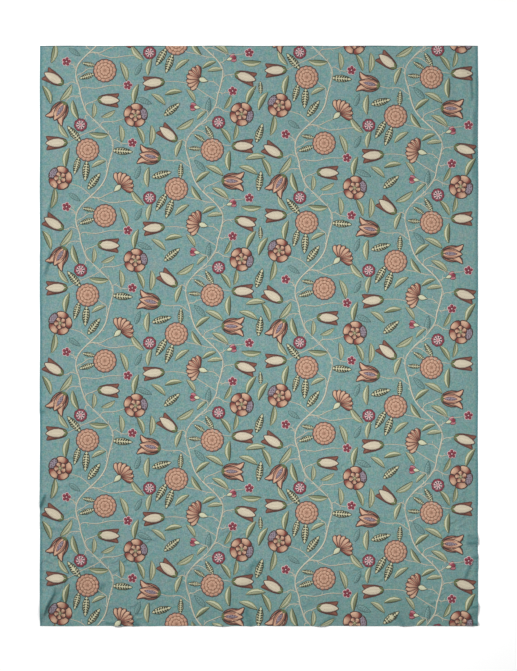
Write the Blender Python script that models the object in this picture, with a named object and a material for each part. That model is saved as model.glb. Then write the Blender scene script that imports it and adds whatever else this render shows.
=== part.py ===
"""A length of embroidered furnishing cloth, laid out flat with the soft folds of its edges.

Metres, +Z up. The origin is in the middle of the underside. +X runs across the width, from
selvedge to selvedge, and +Y runs up the length, the way the worked pattern stands.
"""

import math
from collections import namedtuple

import bmesh
import bpy

# Driving dimensions, in metres. Furnishing cloth is woven 54 inches wide.
CLOTH_WIDTH = 1.372
CLOTH_LENGTH = 1.817
CLOTH_THICKNESS = 0.0016

# The two selvedges and the two cut ends are straight to within about a millimetre.
SELVEDGE_WAVER = 0.0011
SELVEDGE_WAVE_LENGTH = 0.31
CUT_WAVER = 0.0009
CUT_WAVE_LENGTH = 0.24
WAVER_REACH = 0.060

# The cloth swells off the surface in broad low hills between the places where it lies.
SWELL_HEIGHT = 0.0018
SWELL_ACROSS = 0.46
SWELL_ALONG = 0.58
SWELL_START = 0.30

# Faces across and along one side of the sheet. They are narrower at its edges, where it folds.
COLUMNS = 44
ROWS = 54
EDGE_CROWDING = 0.48

# Each row is one soft fold, a ridge that the cloth lifts into between two points of its plane.
# Places run from the middle of the cloth. half_width is from the crest to where it lies flat.
Fold = namedtuple("Fold", "from_x from_y to_x to_y half_width height")
FOLDS = (
    # Left selvedge, from the top down
    Fold(-0.656, 0.824, -0.650, 0.736, 0.024, 0.0030),
    Fold(-0.636, 0.868, -0.560, 0.842, 0.022, 0.0022),
    Fold(-0.664, 0.380, -0.618, 0.462, 0.026, 0.0046),
    Fold(-0.690, 0.246, -0.628, 0.258, 0.024, 0.0030),
    Fold(-0.690, -0.218, -0.630, -0.210, 0.024, 0.0032),
    Fold(-0.690, -0.512, -0.640, -0.486, 0.026, 0.0048),
    Fold(-0.690, -0.588, -0.632, -0.596, 0.022, 0.0030),
    # Lower left corner
    Fold(-0.690, -0.872, -0.614, -0.764, 0.030, 0.0082),
    Fold(-0.628, -0.850, -0.548, -0.730, 0.028, 0.0046),
    # Lower cut end, from the left
    Fold(-0.430, -0.916, -0.466, -0.842, 0.028, 0.0040),
    Fold(-0.116, -0.916, -0.100, -0.820, 0.030, 0.0038),
    Fold(0.186, -0.916, 0.200, -0.866, 0.026, 0.0032),
    Fold(0.470, -0.916, 0.430, -0.846, 0.028, 0.0036),
    # Right selvedge, from the bottom up
    Fold(0.690, -0.852, 0.606, -0.880, 0.028, 0.0062),
    Fold(0.690, -0.716, 0.632, -0.670, 0.026, 0.0036),
    Fold(0.690, -0.640, 0.630, -0.622, 0.022, 0.0034),
    Fold(0.676, 0.246, 0.674, 0.800, 0.022, 0.0018),
    Fold(0.628, 0.876, 0.648, 0.744, 0.028, 0.0034),
    # The lengthwise crease left by folding the cloth double on its bolt
    Fold(0.004, -0.140, 0.000, 0.560, 0.056, 0.0014),
)

CLOTH_COLOUR = (0.184, 0.314, 0.306, 1.0)
CLOTH_ROUGHNESS = 0.82


def clear_scene():
    for thing in list(bpy.data.objects):
        bpy.data.objects.remove(thing, do_unlink=True)


def eased(share):
    """0 to 1, level at both ends."""
    share = max(0.0, min(1.0, share))
    return share * share * (3.0 - 2.0 * share)


def crowded(share):
    """Moves a share of the width or length so that steps are small near 0 and 1."""
    return share - EDGE_CROWDING * math.sin(2.0 * math.pi * share) / (2.0 * math.pi)


def fold_lift(fold, x, y):
    """How far one fold lifts the cloth at a point of its plane."""
    run_x = fold.to_x - fold.from_x
    run_y = fold.to_y - fold.from_y
    along = ((x - fold.from_x) * run_x + (y - fold.from_y) * run_y) / (run_x**2 + run_y**2)
    nearest = max(0.0, min(1.0, along))
    away = math.hypot(x - fold.from_x - nearest * run_x, y - fold.from_y - nearest * run_y)
    return fold.height * eased(1.0 - away / fold.half_width)


def swell_lift(x, y):
    """The low hills of a cloth that lies loosely: nothing where it touches the surface."""
    wave = math.sin(2.0 * math.pi * x / SWELL_ACROSS) * math.sin(2.0 * math.pi * y / SWELL_ALONG)
    return SWELL_HEIGHT * eased((wave - SWELL_START) / (1.0 - SWELL_START))


def lift(x, y):
    """Height of the cloth's underside over the surface that it lies on."""
    return swell_lift(x, y) + sum(fold_lift(fold, x, y) for fold in FOLDS)


def wavered(x, y):
    """Moves a point near the rim in or out, as a hand-cut end and a woven edge do."""
    half_width = CLOTH_WIDTH / 2.0
    half_length = CLOTH_LENGTH / 2.0
    to_selvedge = eased((abs(x) - half_width + WAVER_REACH) / WAVER_REACH)
    to_cut = eased((abs(y) - half_length + WAVER_REACH) / WAVER_REACH)
    in_x = SELVEDGE_WAVER * 0.5 * (1.0 + math.cos(2.0 * math.pi * y / SELVEDGE_WAVE_LENGTH))
    in_y = CUT_WAVER * 0.5 * (1.0 + math.cos(2.0 * math.pi * x / CUT_WAVE_LENGTH))
    return (
        x - math.copysign(in_x * to_selvedge, x),
        y - math.copysign(in_y * to_cut, y),
    )


def side_points(mesh, above):
    """One side of the sheet as rows of vertices, the given height above its underside."""
    rows = []
    for row in range(ROWS + 1):
        y = CLOTH_LENGTH * (crowded(row / ROWS) - 0.5)
        line = []
        for column in range(COLUMNS + 1):
            x = CLOTH_WIDTH * (crowded(column / COLUMNS) - 0.5)
            px, py = wavered(x, y)
            line.append(mesh.verts.new((px, py, lift(x, y) + above)))
        rows.append(line)
    return rows


def rim_of(rows):
    """The vertices round the edge of one side, anticlockwise from the lower left corner."""
    bottom = rows[0]
    right = [line[-1] for line in rows[1:]]
    top = rows[-1][-2::-1]
    left = [line[0] for line in rows[-2:0:-1]]
    return bottom + right + top + left


def build_cloth():
    """The sheet: a face side, an underside and the narrow rim between them, in one solid."""
    mesh = bmesh.new()
    face_side = side_points(mesh, CLOTH_THICKNESS)
    underside = side_points(mesh, 0.0)
    for row in range(ROWS):
        for column in range(COLUMNS):
            corners = ((row, column), (row, column + 1), (row + 1, column + 1), (row + 1, column))
            mesh.faces.new([face_side[r][c] for r, c in corners])
            mesh.faces.new([underside[r][c] for r, c in reversed(corners)])
    upper = rim_of(face_side)
    lower = rim_of(underside)
    for here in range(len(upper)):
        after = (here + 1) % len(upper)
        mesh.faces.new((lower[here], lower[after], upper[after], upper[here]))
    for face in mesh.faces:
        face.smooth = True
    data = bpy.data.meshes.new("cloth")
    mesh.to_mesh(data)
    mesh.free()
    data.materials.append(cloth_material())
    cloth = bpy.data.objects.new("cloth", data)
    bpy.context.scene.collection.objects.link(cloth)
    return cloth


def cloth_material():
    """The dull teal of the plain ground between the stitches."""
    material = bpy.data.materials.new("ground_cloth")
    material.use_nodes = True
    shader = material.node_tree.nodes["Principled BSDF"]
    shader.inputs["Base Color"].default_value = CLOTH_COLOUR
    shader.inputs["Roughness"].default_value = CLOTH_ROUGHNESS
    shader.inputs["Metallic"].default_value = 0.0
    return material


def main():
    clear_scene()
    build_cloth()


main()
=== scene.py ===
"""A length of embroidered furnishing cloth lies face up on a pale floor, seen from straight above."""

import math
from collections import namedtuple

import bmesh
import bpy
import numpy as np
from mathutils import Matrix, Vector


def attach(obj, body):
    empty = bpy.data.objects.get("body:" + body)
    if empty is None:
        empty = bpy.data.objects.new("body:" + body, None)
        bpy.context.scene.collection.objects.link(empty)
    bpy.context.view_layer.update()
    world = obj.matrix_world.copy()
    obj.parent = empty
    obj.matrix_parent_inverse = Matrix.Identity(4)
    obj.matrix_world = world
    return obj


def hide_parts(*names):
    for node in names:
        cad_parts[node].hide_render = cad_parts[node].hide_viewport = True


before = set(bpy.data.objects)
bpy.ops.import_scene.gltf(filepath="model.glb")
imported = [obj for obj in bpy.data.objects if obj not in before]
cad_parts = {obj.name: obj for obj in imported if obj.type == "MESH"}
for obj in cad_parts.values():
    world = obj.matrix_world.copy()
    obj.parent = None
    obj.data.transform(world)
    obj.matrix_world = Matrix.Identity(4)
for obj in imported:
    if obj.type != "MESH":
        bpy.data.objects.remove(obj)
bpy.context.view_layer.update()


# Camera
# It looks straight down on the cloth, as a copy stand's does. The cloth's width takes up 437.9 of
# the picture's 517 pixels, which fixes the lens. Its middle lies just beside the picture's.
CLOTH_WIDTH = 1.372
CLOTH_LENGTH = 1.817
SELVEDGE_WAVER = 0.0011
PICTURE_WIDTH = 517
PICTURE_HEIGHT = 671
CLOTH_PIXELS = 437.9
CLOTH_MIDDLE = (258.87, 335.9)
CAMERA_HEIGHT = 6.0
SENSOR_MM = 36.0

pixel = (CLOTH_WIDTH - SELVEDGE_WAVER) / CLOTH_PIXELS
camera = bpy.data.objects.new("camera", bpy.data.cameras.new("camera"))
camera.data.sensor_width = SENSOR_MM
camera.data.lens = SENSOR_MM * CAMERA_HEIGHT / (PICTURE_HEIGHT * pixel)
camera.location = (
    (PICTURE_WIDTH / 2 - CLOTH_MIDDLE[0]) * pixel,
    (CLOTH_MIDDLE[1] - PICTURE_HEIGHT / 2) * pixel,
    CAMERA_HEIGHT,
)
bpy.context.collection.objects.link(camera)
bpy.context.scene.camera = camera


# Floor and light
# A pale studio floor. A far lamp at the upper left shows the folds, a near one over the lower
# right evens it out and thins towards the ends, and the room's pale walls give the rest.
FLOOR_SIZE = 60.0
FLOOR_DROP = 0.0002
FLOOR_COLOUR = (0.90, 0.90, 0.90, 1.0)
ROOM_COLOUR = (1.0, 1.0, 1.0, 1.0)
ROOM_LIGHT = 0.40
Lamp = namedtuple("Lamp", "name place aim size watts")
LAMPS = (
    Lamp("near_lamp", (0.34, -0.24, 1.35), (0.34, -0.24, 0.0), 0.9, 9.1),
    Lamp("far_lamp", (-3.2, 2.4, 4.6), (0.0, 0.0, 0.0), 1.1, 330.0),
)


class Tree:
    """A node tree under construction: one call adds a node of any type and wires it up."""

    def __init__(self, tree):
        self.tree = tree

    def add(self, kind, inputs=None, output=0, **settings):
        node = self.tree.nodes.new(kind)
        for name, value in settings.items():
            setattr(node, name, value)
        for key, value in (inputs or {}).items():
            if isinstance(value, Wire):
                self.tree.links.new(value.socket, node.inputs[key])
            else:
                node.inputs[key].default_value = value
        return Wire(self, node.outputs[output]) if node.outputs else None


def maths(operation):
    """A method that works its wire and any others through one Math node."""

    def method(self, *others):
        inputs = dict(enumerate((self, *others)))
        return self.tree.add("ShaderNodeMath", inputs, operation=operation)

    return method


class Wire:
    """An output socket. Arithmetic written with it adds Math nodes to its tree."""

    __add__ = __radd__ = maths("ADD")
    __mul__ = __rmul__ = maths("MULTIPLY")
    __sub__ = maths("SUBTRACT")
    __truediv__ = maths("DIVIDE")
    __pow__ = maths("POWER")
    floor = maths("FLOOR")
    fraction = maths("FRACT")
    wave = maths("SINE")
    size = maths("ABSOLUTE")
    larger = maths("MAXIMUM")
    smaller = maths("MINIMUM")
    above = maths("GREATER_THAN")

    def __init__(self, tree, socket):
        self.tree = tree
        self.socket = socket

    def __rsub__(self, other):
        return self.tree.add("ShaderNodeMath", {0: other, 1: self}, operation="SUBTRACT")

    def beside(self, output):
        return Wire(self.tree, self.socket.node.outputs[output])

    def rising(self, start, end):
        """0 below start and 1 above end, with a soft step between them."""
        inputs = {0: self, 1: start, 2: end, 3: 0.0, 4: 1.0}
        return self.tree.add("ShaderNodeMapRange", inputs, interpolation_type="SMOOTHSTEP")


def combined(tree, x=0.0, y=0.0, z=0.0):
    """A vector of three numbers."""
    return tree.add("ShaderNodeCombineXYZ", {0: x, 1: y, 2: z})


def mixed(tree, share, first, second):
    """A colour between two others."""
    return tree.add("ShaderNodeMix", {0: share, 6: first, 7: second}, output=2, data_type="RGBA")


def brightened(tree, colour, factor):
    """A colour scaled by a number."""
    return tree.add("ShaderNodeVectorMath", {"Vector": colour, "Scale": factor}, operation="SCALE")


def finish(name, **constants):
    """A new material, its tree, and its shader with the values that are the same all over."""
    material = bpy.data.materials.new(name)
    material.use_nodes = True
    shader = material.node_tree.nodes["Principled BSDF"]
    for socket, value in constants.items():
        shader.inputs[socket.replace("_", " ")].default_value = value
    return material, Tree(material.node_tree), shader


floor_mesh = bpy.data.meshes.new("floor")
far = FLOOR_SIZE / 2
corners = [(x * far, y * far, -FLOOR_DROP) for x, y in ((-1, -1), (1, -1), (1, 1), (-1, 1))]
floor_mesh.from_pydata(corners, [], [(0, 1, 2, 3)])
floor_mesh.materials.append(finish("floor", Base_Color=FLOOR_COLOUR, Roughness=0.9)[0])
floor = bpy.data.objects.new("floor", floor_mesh)
bpy.context.collection.objects.link(floor)

for row in LAMPS:
    lamp = bpy.data.objects.new(row.name, bpy.data.lights.new(row.name, "AREA"))
    lamp.data.shape = "DISK"
    lamp.data.size = row.size
    lamp.data.energy = row.watts
    lamp.location = row.place
    beam = Vector(row.aim) - Vector(row.place)
    lamp.rotation_euler = beam.to_track_quat("-Z", "Y").to_euler()
    lamp.visible_camera = False
    bpy.context.collection.objects.link(lamp)

world = bpy.data.worlds.new("room")
world.use_nodes = True
world.node_tree.nodes["Background"].inputs["Color"].default_value = ROOM_COLOUR
world.node_tree.nodes["Background"].inputs["Strength"].default_value = ROOM_LIGHT
bpy.context.scene.world = world
bpy.context.scene.view_settings.view_transform = "Standard"


# Ground cloth
# One width of plain-woven cotton and linen, dyed a dull teal in the piece, with a selvedge down
# each side and a plain cut at each end. It lies loose, in low swells and short soft folds.
THICKNESS = 0.0009
UNDERSIDE_LIFT = 0.00045
GRID_ACROSS = 186
GRID_ALONG = 232
EDGE_CROWDING = 0.70
SELVEDGE_WAVE_LENGTH = 0.31
CUT_WAVER = 0.0009
CUT_WAVE_LENGTH = 0.24
WAVER_REACH = 0.060
SWELL_HEIGHT = 0.0018
SWELL_ACROSS = 0.46
SWELL_ALONG = 0.58
SWELL_START = 0.30
CREASE_SHADE_SHIFT = 0.0022
FULL_SHADE_HEIGHT = 0.0050
SHARP_ANGLE = math.radians(60)
WEAVE_PITCH = 0.00062
WEAVE_DEPTH = 0.00012
PUCKER_DEPTH = 0.0020
SELVEDGE_BAND = 0.013
CUT_BAND = 0.0040
CUT_BAND_FULL = 0.0015
# How far up from the foot the painted shade reaches
PAINTED_FOOT_SHADE_BAND = 0.220
# The light is strong enough that a dye shows at this many times its own value.
LIGHT_ON_CLOTH = 1.45

# Each row is one soft fold, a ridge that the cloth lifts into between two points of its plane.
Fold = namedtuple("Fold", "from_x from_y to_x to_y half_width height")
FOLDS = (
    # Left selvedge, from the top down
    Fold(-0.656, 0.824, -0.650, 0.736, 0.024, 0.0030),
    Fold(-0.636, 0.868, -0.560, 0.842, 0.022, 0.0022),
    Fold(-0.664, 0.380, -0.618, 0.462, 0.026, 0.0046),
    Fold(-0.690, 0.246, -0.628, 0.258, 0.024, 0.0030),
    Fold(-0.690, -0.218, -0.630, -0.210, 0.024, 0.0032),
    Fold(-0.690, -0.512, -0.640, -0.486, 0.026, 0.0048),
    Fold(-0.690, -0.588, -0.632, -0.596, 0.022, 0.0030),
    # Lower left corner
    Fold(-0.690, -0.872, -0.614, -0.764, 0.030, 0.0082),
    Fold(-0.628, -0.850, -0.548, -0.730, 0.028, 0.0046),
    # Lower cut end, from the left
    Fold(-0.430, -0.916, -0.466, -0.842, 0.028, 0.0040),
    Fold(-0.116, -0.916, -0.100, -0.820, 0.030, 0.0038),
    Fold(0.186, -0.916, 0.200, -0.866, 0.026, 0.0032),
    Fold(0.470, -0.916, 0.430, -0.846, 0.028, 0.0036),
    # Right selvedge, from the bottom up
    Fold(0.690, -0.852, 0.606, -0.880, 0.028, 0.0062),
    Fold(0.690, -0.716, 0.632, -0.670, 0.026, 0.0036),
    Fold(0.690, -0.640, 0.630, -0.622, 0.022, 0.0034),
    Fold(0.676, 0.246, 0.674, 0.800, 0.022, 0.0018),
    Fold(0.628, 0.876, 0.648, 0.744, 0.028, 0.0034),
    # The lengthwise crease left by folding the cloth double on its bolt
    Fold(0.004, -0.140, 0.000, 0.560, 0.056, 0.0014),
)

# Creases are the sharper lines on and beside the folds, where the cloth was pinched.
CREASES = (
    # Lower left corner: one long line down to the selvedge, and shorter ones beside it
    Fold(-0.640, -0.786, -0.643, -0.806, 0.0085, 0.0044),
    Fold(-0.643, -0.806, -0.665, -0.846, 0.0080, 0.0058),
    Fold(-0.665, -0.846, -0.672, -0.868, 0.0075, 0.0042),
    Fold(-0.606, -0.792, -0.627, -0.836, 0.0080, 0.0052),
    Fold(-0.492, -0.776, -0.502, -0.794, 0.0110, 0.0040),
    Fold(-0.423, -0.682, -0.430, -0.708, 0.0130, 0.0028),
    # Left selvedge, from the bottom up
    Fold(-0.684, -0.566, -0.668, -0.548, 0.0080, 0.0040),
    Fold(-0.686, -0.532, -0.672, -0.500, 0.0085, 0.0072),
    Fold(-0.688, -0.236, -0.662, -0.222, 0.0090, 0.0034),
    Fold(-0.672, 0.196, -0.658, 0.240, 0.0100, 0.0040),
    Fold(-0.660, 0.240, -0.656, 0.268, 0.0090, 0.0026),
    Fold(-0.662, 0.386, -0.650, 0.420, 0.0080, 0.0040),
    Fold(-0.650, 0.420, -0.634, 0.456, 0.0080, 0.0058),
    Fold(-0.670, 0.830, -0.666, 0.742, 0.0090, 0.0028),
    Fold(-0.654, 0.800, -0.650, 0.690, 0.0090, 0.0020),
    # Lower cut end, from the left
    Fold(-0.478, -0.896, -0.432, -0.899, 0.0085, 0.0028),
    Fold(-0.412, -0.868, -0.386, -0.902, 0.0130, 0.0044),
    Fold(-0.014, -0.704, -0.050, -0.760, 0.0180, 0.0034),
    Fold(-0.044, -0.850, -0.028, -0.904, 0.0160, 0.0046),
    Fold(0.190, -0.908, 0.224, -0.880, 0.0160, 0.0036),
    Fold(0.450, -0.904, 0.430, -0.870, 0.0140, 0.0036),
    # Right selvedge, from the bottom up
    Fold(0.650, -0.894, 0.685, -0.900, 0.0085, 0.0070),
    Fold(0.662, -0.847, 0.684, -0.842, 0.0090, 0.0040),
    Fold(0.644, -0.752, 0.662, -0.706, 0.0110, 0.0032),
    Fold(0.666, -0.691, 0.685, -0.690, 0.0100, 0.0042),
    Fold(0.652, -0.645, 0.685, -0.646, 0.0105, 0.0060),
    Fold(0.654, -0.624, 0.683, -0.630, 0.0095, 0.0048),
    Fold(0.668, 0.500, 0.670, 0.700, 0.0100, 0.0022),
    Fold(0.660, 0.812, 0.664, 0.746, 0.0090, 0.0030),
)


def eased(share):
    """0 to 1, level at both ends."""
    share = np.clip(share, 0.0, 1.0)
    return share * share * (3.0 - 2.0 * share)


def fold_lift(fold, x, y):
    """How far one fold lifts the cloth at points of its plane."""
    run_x = fold.to_x - fold.from_x
    run_y = fold.to_y - fold.from_y
    along = ((x - fold.from_x) * run_x + (y - fold.from_y) * run_y) / (run_x**2 + run_y**2)
    nearest = np.clip(along, 0.0, 1.0)
    away = np.hypot(x - fold.from_x - nearest * run_x, y - fold.from_y - nearest * run_y)
    return fold.height * eased(1.0 - away / fold.half_width)


def lift(x, y):
    """Height of the cloth's underside over the floor. Where creases meet, the highest holds."""
    wave = np.sin(2 * np.pi * x / SWELL_ACROSS) * np.sin(2 * np.pi * y / SWELL_ALONG)
    height = UNDERSIDE_LIFT + SWELL_HEIGHT * eased((wave - SWELL_START) / (1.0 - SWELL_START))
    for fold in FOLDS:
        height = height + fold_lift(fold, x, y)
    pinch = np.zeros(x.shape)
    for crease in CREASES:
        pinch = np.maximum(pinch, fold_lift(crease, x, y))
    return height + pinch


def crease_shade(x, y):
    """How much painted shade each point gets from a crease, 0 to 1, just to the lower right of its
    line, away from the far lamp.
    """
    shade = np.zeros(x.shape)
    for crease in CREASES:
        near = fold_lift(crease, x - CREASE_SHADE_SHIFT, y + CREASE_SHADE_SHIFT) / crease.height
        shade = np.maximum(shade, near * min(1.0, crease.height / FULL_SHADE_HEIGHT))
    return shade


def cloth_plan():
    """Where the grid's points stand in the cloth's plane: closer at its edges, which waver."""
    steps = []
    for count, size in ((GRID_ACROSS, CLOTH_WIDTH), (GRID_ALONG, CLOTH_LENGTH)):
        share = np.arange(count + 1) / count
        steps.append(size * (share - EDGE_CROWDING * np.sin(2 * np.pi * share) / (2 * np.pi) - 0.5))
    x, y = np.meshgrid(*steps)
    to_selvedge = eased((abs(x) - CLOTH_WIDTH / 2 + WAVER_REACH) / WAVER_REACH)
    to_cut = eased((abs(y) - CLOTH_LENGTH / 2 + WAVER_REACH) / WAVER_REACH)
    in_x = SELVEDGE_WAVER * 0.5 * (1.0 + np.cos(2 * np.pi * y / SELVEDGE_WAVE_LENGTH))
    in_y = CUT_WAVER * 0.5 * (1.0 + np.cos(2 * np.pi * x / CUT_WAVE_LENGTH))
    return x - np.sign(x) * in_x * to_selvedge, y - np.sign(y) * in_y * to_cut


def weave_cloth():
    """The sheet: a face side, an underside and the narrow rim between them, in one shell."""
    x, y = cloth_plan()
    under = lift(x, y)
    sides = [np.stack((x, y, under + above), axis=-1).reshape(-1, 3) for above in (THICKNESS, 0.0)]
    number = np.arange(x.size).reshape(x.shape)
    quads = np.stack((number[:-1, :-1], number[:-1, 1:], number[1:, 1:], number[1:, :-1]), axis=-1)
    quads = quads.reshape(-1, 4)
    rim = np.concatenate((number[0, :], number[1:, -1], number[-1, -2::-1], number[-2:0:-1, 0]))
    beside = np.roll(rim, -1)
    rim_quads = np.stack((rim + x.size, beside + x.size, beside, rim), axis=-1)
    faces = np.concatenate((quads, quads[:, ::-1] + x.size, rim_quads))
    mesh = bpy.data.meshes.new("ground_cloth")
    mesh.from_pydata(np.concatenate(sides).tolist(), [], faces.tolist())
    mesh.shade_smooth()
    mesh.set_sharp_from_angle(angle=SHARP_ANGLE)
    # Painted shade: each point's share of the dark teal that stands for the shade beside a crease
    creased = mesh.attributes.new("creased", "FLOAT", "POINT")
    creased.data.foreach_set("value", np.tile(crease_shade(x, y).ravel(), 2))
    cloth = bpy.data.objects.new("ground_cloth", mesh)
    bpy.context.collection.objects.link(cloth)
    return cloth


def seen(red, green, blue):
    """The colour of a dye that shows as these sRGB values, 0 to 255, under this scene's light."""
    parts = [(part / 255 + 0.055) / 1.055 for part in (red, green, blue)]
    return tuple(part**2.4 / LIGHT_ON_CLOTH for part in parts) + (1.0,)


def show(tree, shader, colour, bump):
    """Feeds a material's colour and its relief to its shader."""
    tree.tree.links.new(colour.socket, shader.inputs["Base Color"])
    tree.tree.links.new(bump.socket, shader.inputs["Normal"])


def dyed_linen():
    """Plain weave: warp over weft in turn, with thick and thin threads and a firm selvedge."""
    material, tree, shader = finish("ground_cloth", Roughness=0.78, Sheen_Weight=0.12)
    place = tree.add("ShaderNodeTexCoord", output="Object")
    x = tree.add("ShaderNodeSeparateXYZ", {0: place})
    y = x.beside("Y")
    warp = x / WEAVE_PITCH
    weft = y / WEAVE_PITCH
    over = 0.5 + 0.5 * (math.pi * (weft + warp.floor())).wave()
    warp_round = 1 - (2 * warp.fraction() - 1) ** 2
    weft_round = 1 - (2 * weft.fraction() - 1) ** 2
    weave = (over * warp_round).larger((1 - over) * weft_round)

    def noise(across, along, detail):
        """Noise with so many blotches to a metre each way."""
        inputs = {"Vector": combined(tree, x * across, y * along), "Scale": 1.0, "Detail": detail}
        return tree.add("ShaderNodeTexNoise", inputs)

    # Thick and thin threads, the dye's mottling, and broad drifts of shade over the whole cloth
    slub = noise(70, 520, 1.0).larger(noise(520, 50, 1.0)).rising(0.48, 0.76)
    grain = noise(230, 230, 1.0).rising(0.30, 0.70)
    mottle = noise(90, 90, 3.0).rising(0.30, 0.70)
    tint = noise(48, 48, 4.0).rising(0.38, 0.62)
    blush = noise(26, 20, 2.0).rising(0.52, 0.80)
    cloud = noise(7, 5, 2.0).rising(0.30, 0.70)
    streak = noise(34, 1.2, 1.0).rising(0.35, 0.75)
    drift = (0.8 * x - 0.35 * y).rising(-0.55, 0.95)
    # Where the stitching has drawn the cloth up, most of all in its lower part
    pucker = 1 - (2 * noise(24, 30, 1.0) - 1).size().rising(0.0, 0.28)
    pucker = pucker * noise(9, 9, 0.0).rising(0.48, 0.66) * (1.25 - y).rising(0.7, 1.9)
    # The firm selvedge, a dark line along the top cut end, painted shade darkening the cloth towards
    # its foot, and painted shade just to the lower right of each crease
    edge = x.size().rising(CLOTH_WIDTH / 2 - SELVEDGE_BAND, CLOTH_WIDTH / 2 - 0.2 * SELVEDGE_BAND)
    cut = y.rising(CLOTH_LENGTH / 2 - CUT_BAND, CLOTH_LENGTH / 2 - CUT_BAND_FULL)
    foot = (0 - y).rising(CLOTH_LENGTH / 2 - PAINTED_FOOT_SHADE_BAND, CLOTH_LENGTH / 2)
    creased = tree.add("ShaderNodeAttribute", output="Fac", attribute_name="creased")
    teal = mixed(tree, mottle, seen(87, 153, 149), seen(137, 166, 156))
    for share, dye in (
        (tint * 0.45, seen(120, 151, 167)),
        (blush * 0.35, seen(152, 156, 152)),
        (slub * 0.34, seen(160, 168, 166)),
        (drift * 0.24, seen(98, 142, 128)),
        (streak * 0.20, seen(99, 142, 144)),
        (edge * (0.6 + 0.4 * cloud), seen(68, 130, 136)),
        (cut * 0.9, seen(30, 80, 84)),
        # Painted shade: the cloth darker towards its foot, where the light thins
        (foot * 0.20, seen(84, 130, 126)),
        # Painted shade: dark teal just beside the creases
        (creased * 0.70, seen(38, 108, 112)),
    ):
        teal = mixed(tree, share, teal, dye)
    # Painted shade: the dye darkens between the woven threads (weave). grain and cloud are the
    # cloth's own tone.
    colour = brightened(tree, teal, 0.66 + 0.18 * weave + 0.06 * cloud + 0.32 * grain)
    puckered = tree.add("ShaderNodeBump", {"Height": pucker, "Distance": PUCKER_DEPTH})
    relief = {"Height": weave + 0.4 * slub, "Distance": WEAVE_DEPTH, "Strength": 0.7}
    show(tree, shader, colour, tree.add("ShaderNodeBump", relief | {"Normal": puckered}))
    return material


cloth = weave_cloth()
cloth.data.materials.append(dyed_linen())
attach(cloth, "root")
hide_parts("cloth")


# Plan of one repeat
# The embroidery machine works one repeat, half the width and a quarter of the length, over and
# over. The second column starts half a repeat higher. Millimetres from the repeat's lower left.
MM = 0.001
REPEAT_WIDTH = CLOTH_WIDTH / 2 / MM
REPEAT_LENGTH = CLOTH_LENGTH / 4 / MM
PLAIN_MARGIN = 7.0
VINE_MIDDLE = {"left": 172.0, "right": 516.0}
VINE_SWING = {"left": 58.0, "right": -58.0}
VINE_RIPPLE = 0.14
VINE_STEPS = 56
TWIG_STEPS = 10
TWIG_RISE = 10.0
TWIG_SWERVE = 22.0
HEADING_SWAY = 0.42
STALK_OVERLAP = 3.0
VINE_ROOM = 3.5
TWIG_ROOM = 2.0
FLOWER_GAP = 2.5

# Where each flower stands, and where its twig leaves which vine.
Flower = namedtuple("Flower", "kind x y vine root_y")
FLOWERS = (
    # Between the selvedge and the left vine
    Flower("rose", 64, 40, "left", -20),
    Flower("dahlia", 150, 128, "left", 60),
    Flower("bud", 52, 150, "left", 200),
    Flower("daisy", 128, 206, "left", 236),
    Flower("tulip", 62, 248, "left", 290),
    Flower("bud", 44, 352, "left", 330),
    Flower("blossom", 84, 404, "left", 375),
    # Between the vines
    Flower("carnation", 258, 22, "left", -30),
    Flower("dahlia", 428, 6, "right", -40),
    Flower("tulip", 344, 108, "right", 70),
    Flower("blossom", 290, 150, "left", 150),
    Flower("bud", 402, 178, "right", 150),
    Flower("rose", 300, 236, "left", 200),
    Flower("bell", 486, 262, "right", 230),
    Flower("bud", 216, 284, "left", 250),
    Flower("blossom", 276, 330, "left", 310),
    Flower("bud", 356, 338, "right", 278),
    Flower("dahlia", 204, 376, "left", 345),
    Flower("carnation", 492, 352, "right", 320),
    Flower("daisy", 344, 432, "left", 425),
    # Between the right vine and the repeat's edge
    Flower("tulip", 604, 30, "right", -10),
    Flower("dahlia", 540, 128, "right", 90),
    Flower("bud", 636, 140, "right", 185),
    Flower("daisy", 560, 214, "right", 195),
    Flower("rose", 632, 240, "right", 250),
    Flower("blossom", 604, 312, "right", 300),
    Flower("bud", 644, 356, "right", 340),
    Flower("bell", 600, 414, "right", 395),
    Flower("blossom", 656, 432, "right", 440),
)
# How far a flower's foot is from its middle, and the circles that it fills. Each has its place
# along the stalk's heading, from the flower's middle, and its radius.
Habit = namedtuple("Habit", "reach circles")
HABITS = {
    "rose": Habit(38.0, ((0.0, 38.0),)),
    "dahlia": Habit(36.5, ((0.0, 36.5),)),
    "tulip": Habit(36.0, ((-18.0, 19.0), (4.0, 28.0), (20.0, 28.0))),
    "carnation": Habit(36.0, ((-24.0, 12.0), (8.0, 36.0))),
    "bud": Habit(32.0, ((-17.0, 16.0), (3.0, 20.0), (20.0, 18.0))),
    "daisy": Habit(20.0, ((0.0, 20.0),)),
    "blossom": Habit(15.0, ((0.0, 15.0),)),
    "bell": Habit(17.0, ((-8.0, 9.0), (6.0, 14.0))),
}

# A motif set down in the repeat. It isn't worked where its foot is nearer than room to one of
# the cloth's own selvedges.
Placed = namedtuple("Placed", "x y turn size room")
Spot = namedtuple("Spot", "x y radius")
ANYWHERE = -10.0
taken = []
places = {kind: [] for kind in HABITS}


def vine_point(vine, y):
    """A point of a vine, and the direction in which it climbs there."""
    phase = 2 * math.pi * y / REPEAT_LENGTH
    bend = math.sin(phase) + VINE_RIPPLE * math.sin(3 * phase + 1.0)
    x = VINE_MIDDLE[vine] + VINE_SWING[vine] * bend
    turn = math.cos(phase) + 3 * VINE_RIPPLE * math.cos(3 * phase + 1.0)
    slope = VINE_SWING[vine] * turn * 2 * math.pi / REPEAT_LENGTH
    return Vector((x, y)), Vector((slope, 1.0)).normalized()


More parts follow.
